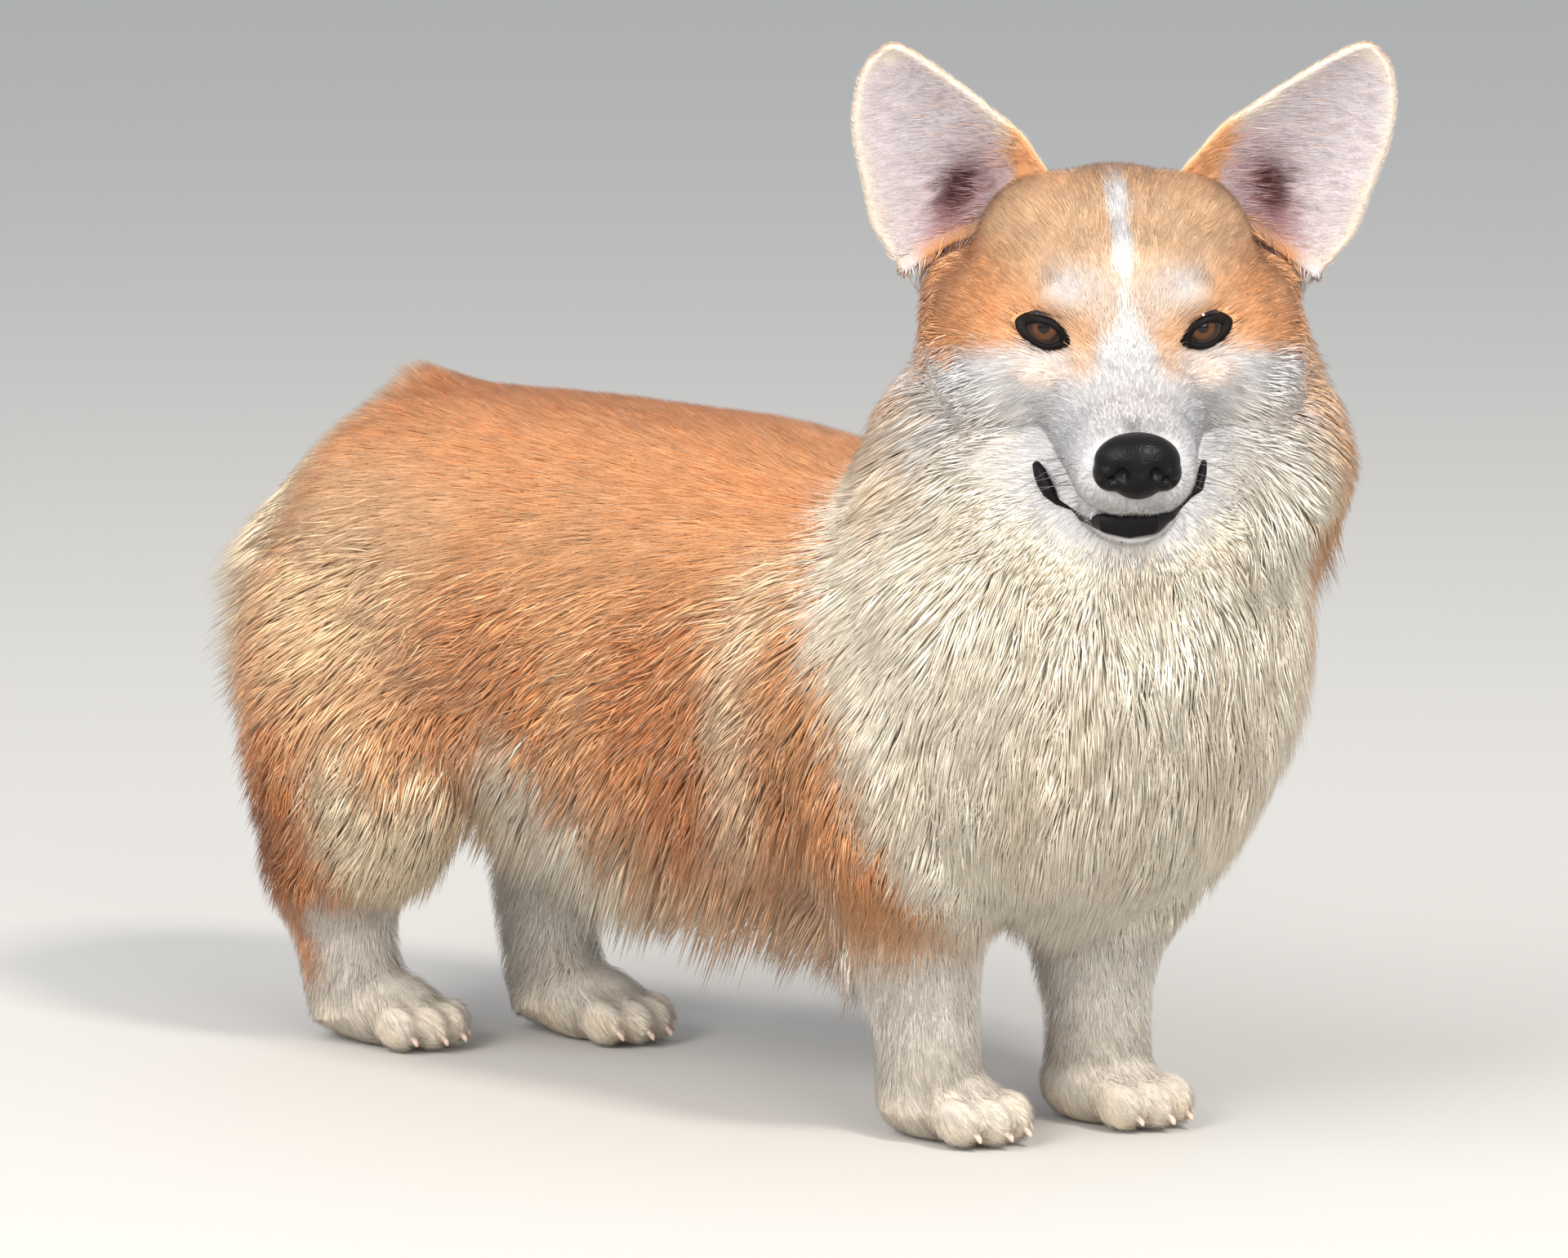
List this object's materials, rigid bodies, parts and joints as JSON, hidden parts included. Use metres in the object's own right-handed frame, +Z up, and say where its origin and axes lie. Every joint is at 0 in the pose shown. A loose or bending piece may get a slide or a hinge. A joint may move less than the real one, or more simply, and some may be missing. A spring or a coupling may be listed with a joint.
{
  "type": "pembroke welsh corgi",
  "caption": "Life-size standing corgi with its head turned to its right, upright ears, thick ruff and short legs.",
  "frame": {"origin": "on the floor, under the middle of the dog's box", "axes": "-Y the way the body faces, +X its left side, +Z up"},
  "size_m": [0.2332, 0.6008, 0.4779],
  "materials": {
    "red_coat": "soft fur, sheen along the lie",
    "white_coat": "soft fur",
    "black_skin": "moist, pebbled",
    "eye": "wet gloss"
  },
  "bodies": {
    "root": {"torso": "red_coat", "neck": "white_coat", "tail": "red_coat", "head": "red_coat", "jaw": "white_coat", "nose": "black_skin", "eye_right": "eye", "eye_left": "eye", "ear_right": "red_coat", "ear_left": "red_coat", "leg_fore_right": "red_coat", "leg_fore_left": "red_coat", "leg_hind_right": "red_coat", "leg_hind_left": "red_coat", "paw_fore_right": "white_coat", "paw_fore_left": "white_coat", "paw_hind_right": "white_coat", "paw_hind_left": "white_coat"}
  },
  "joints": []
}
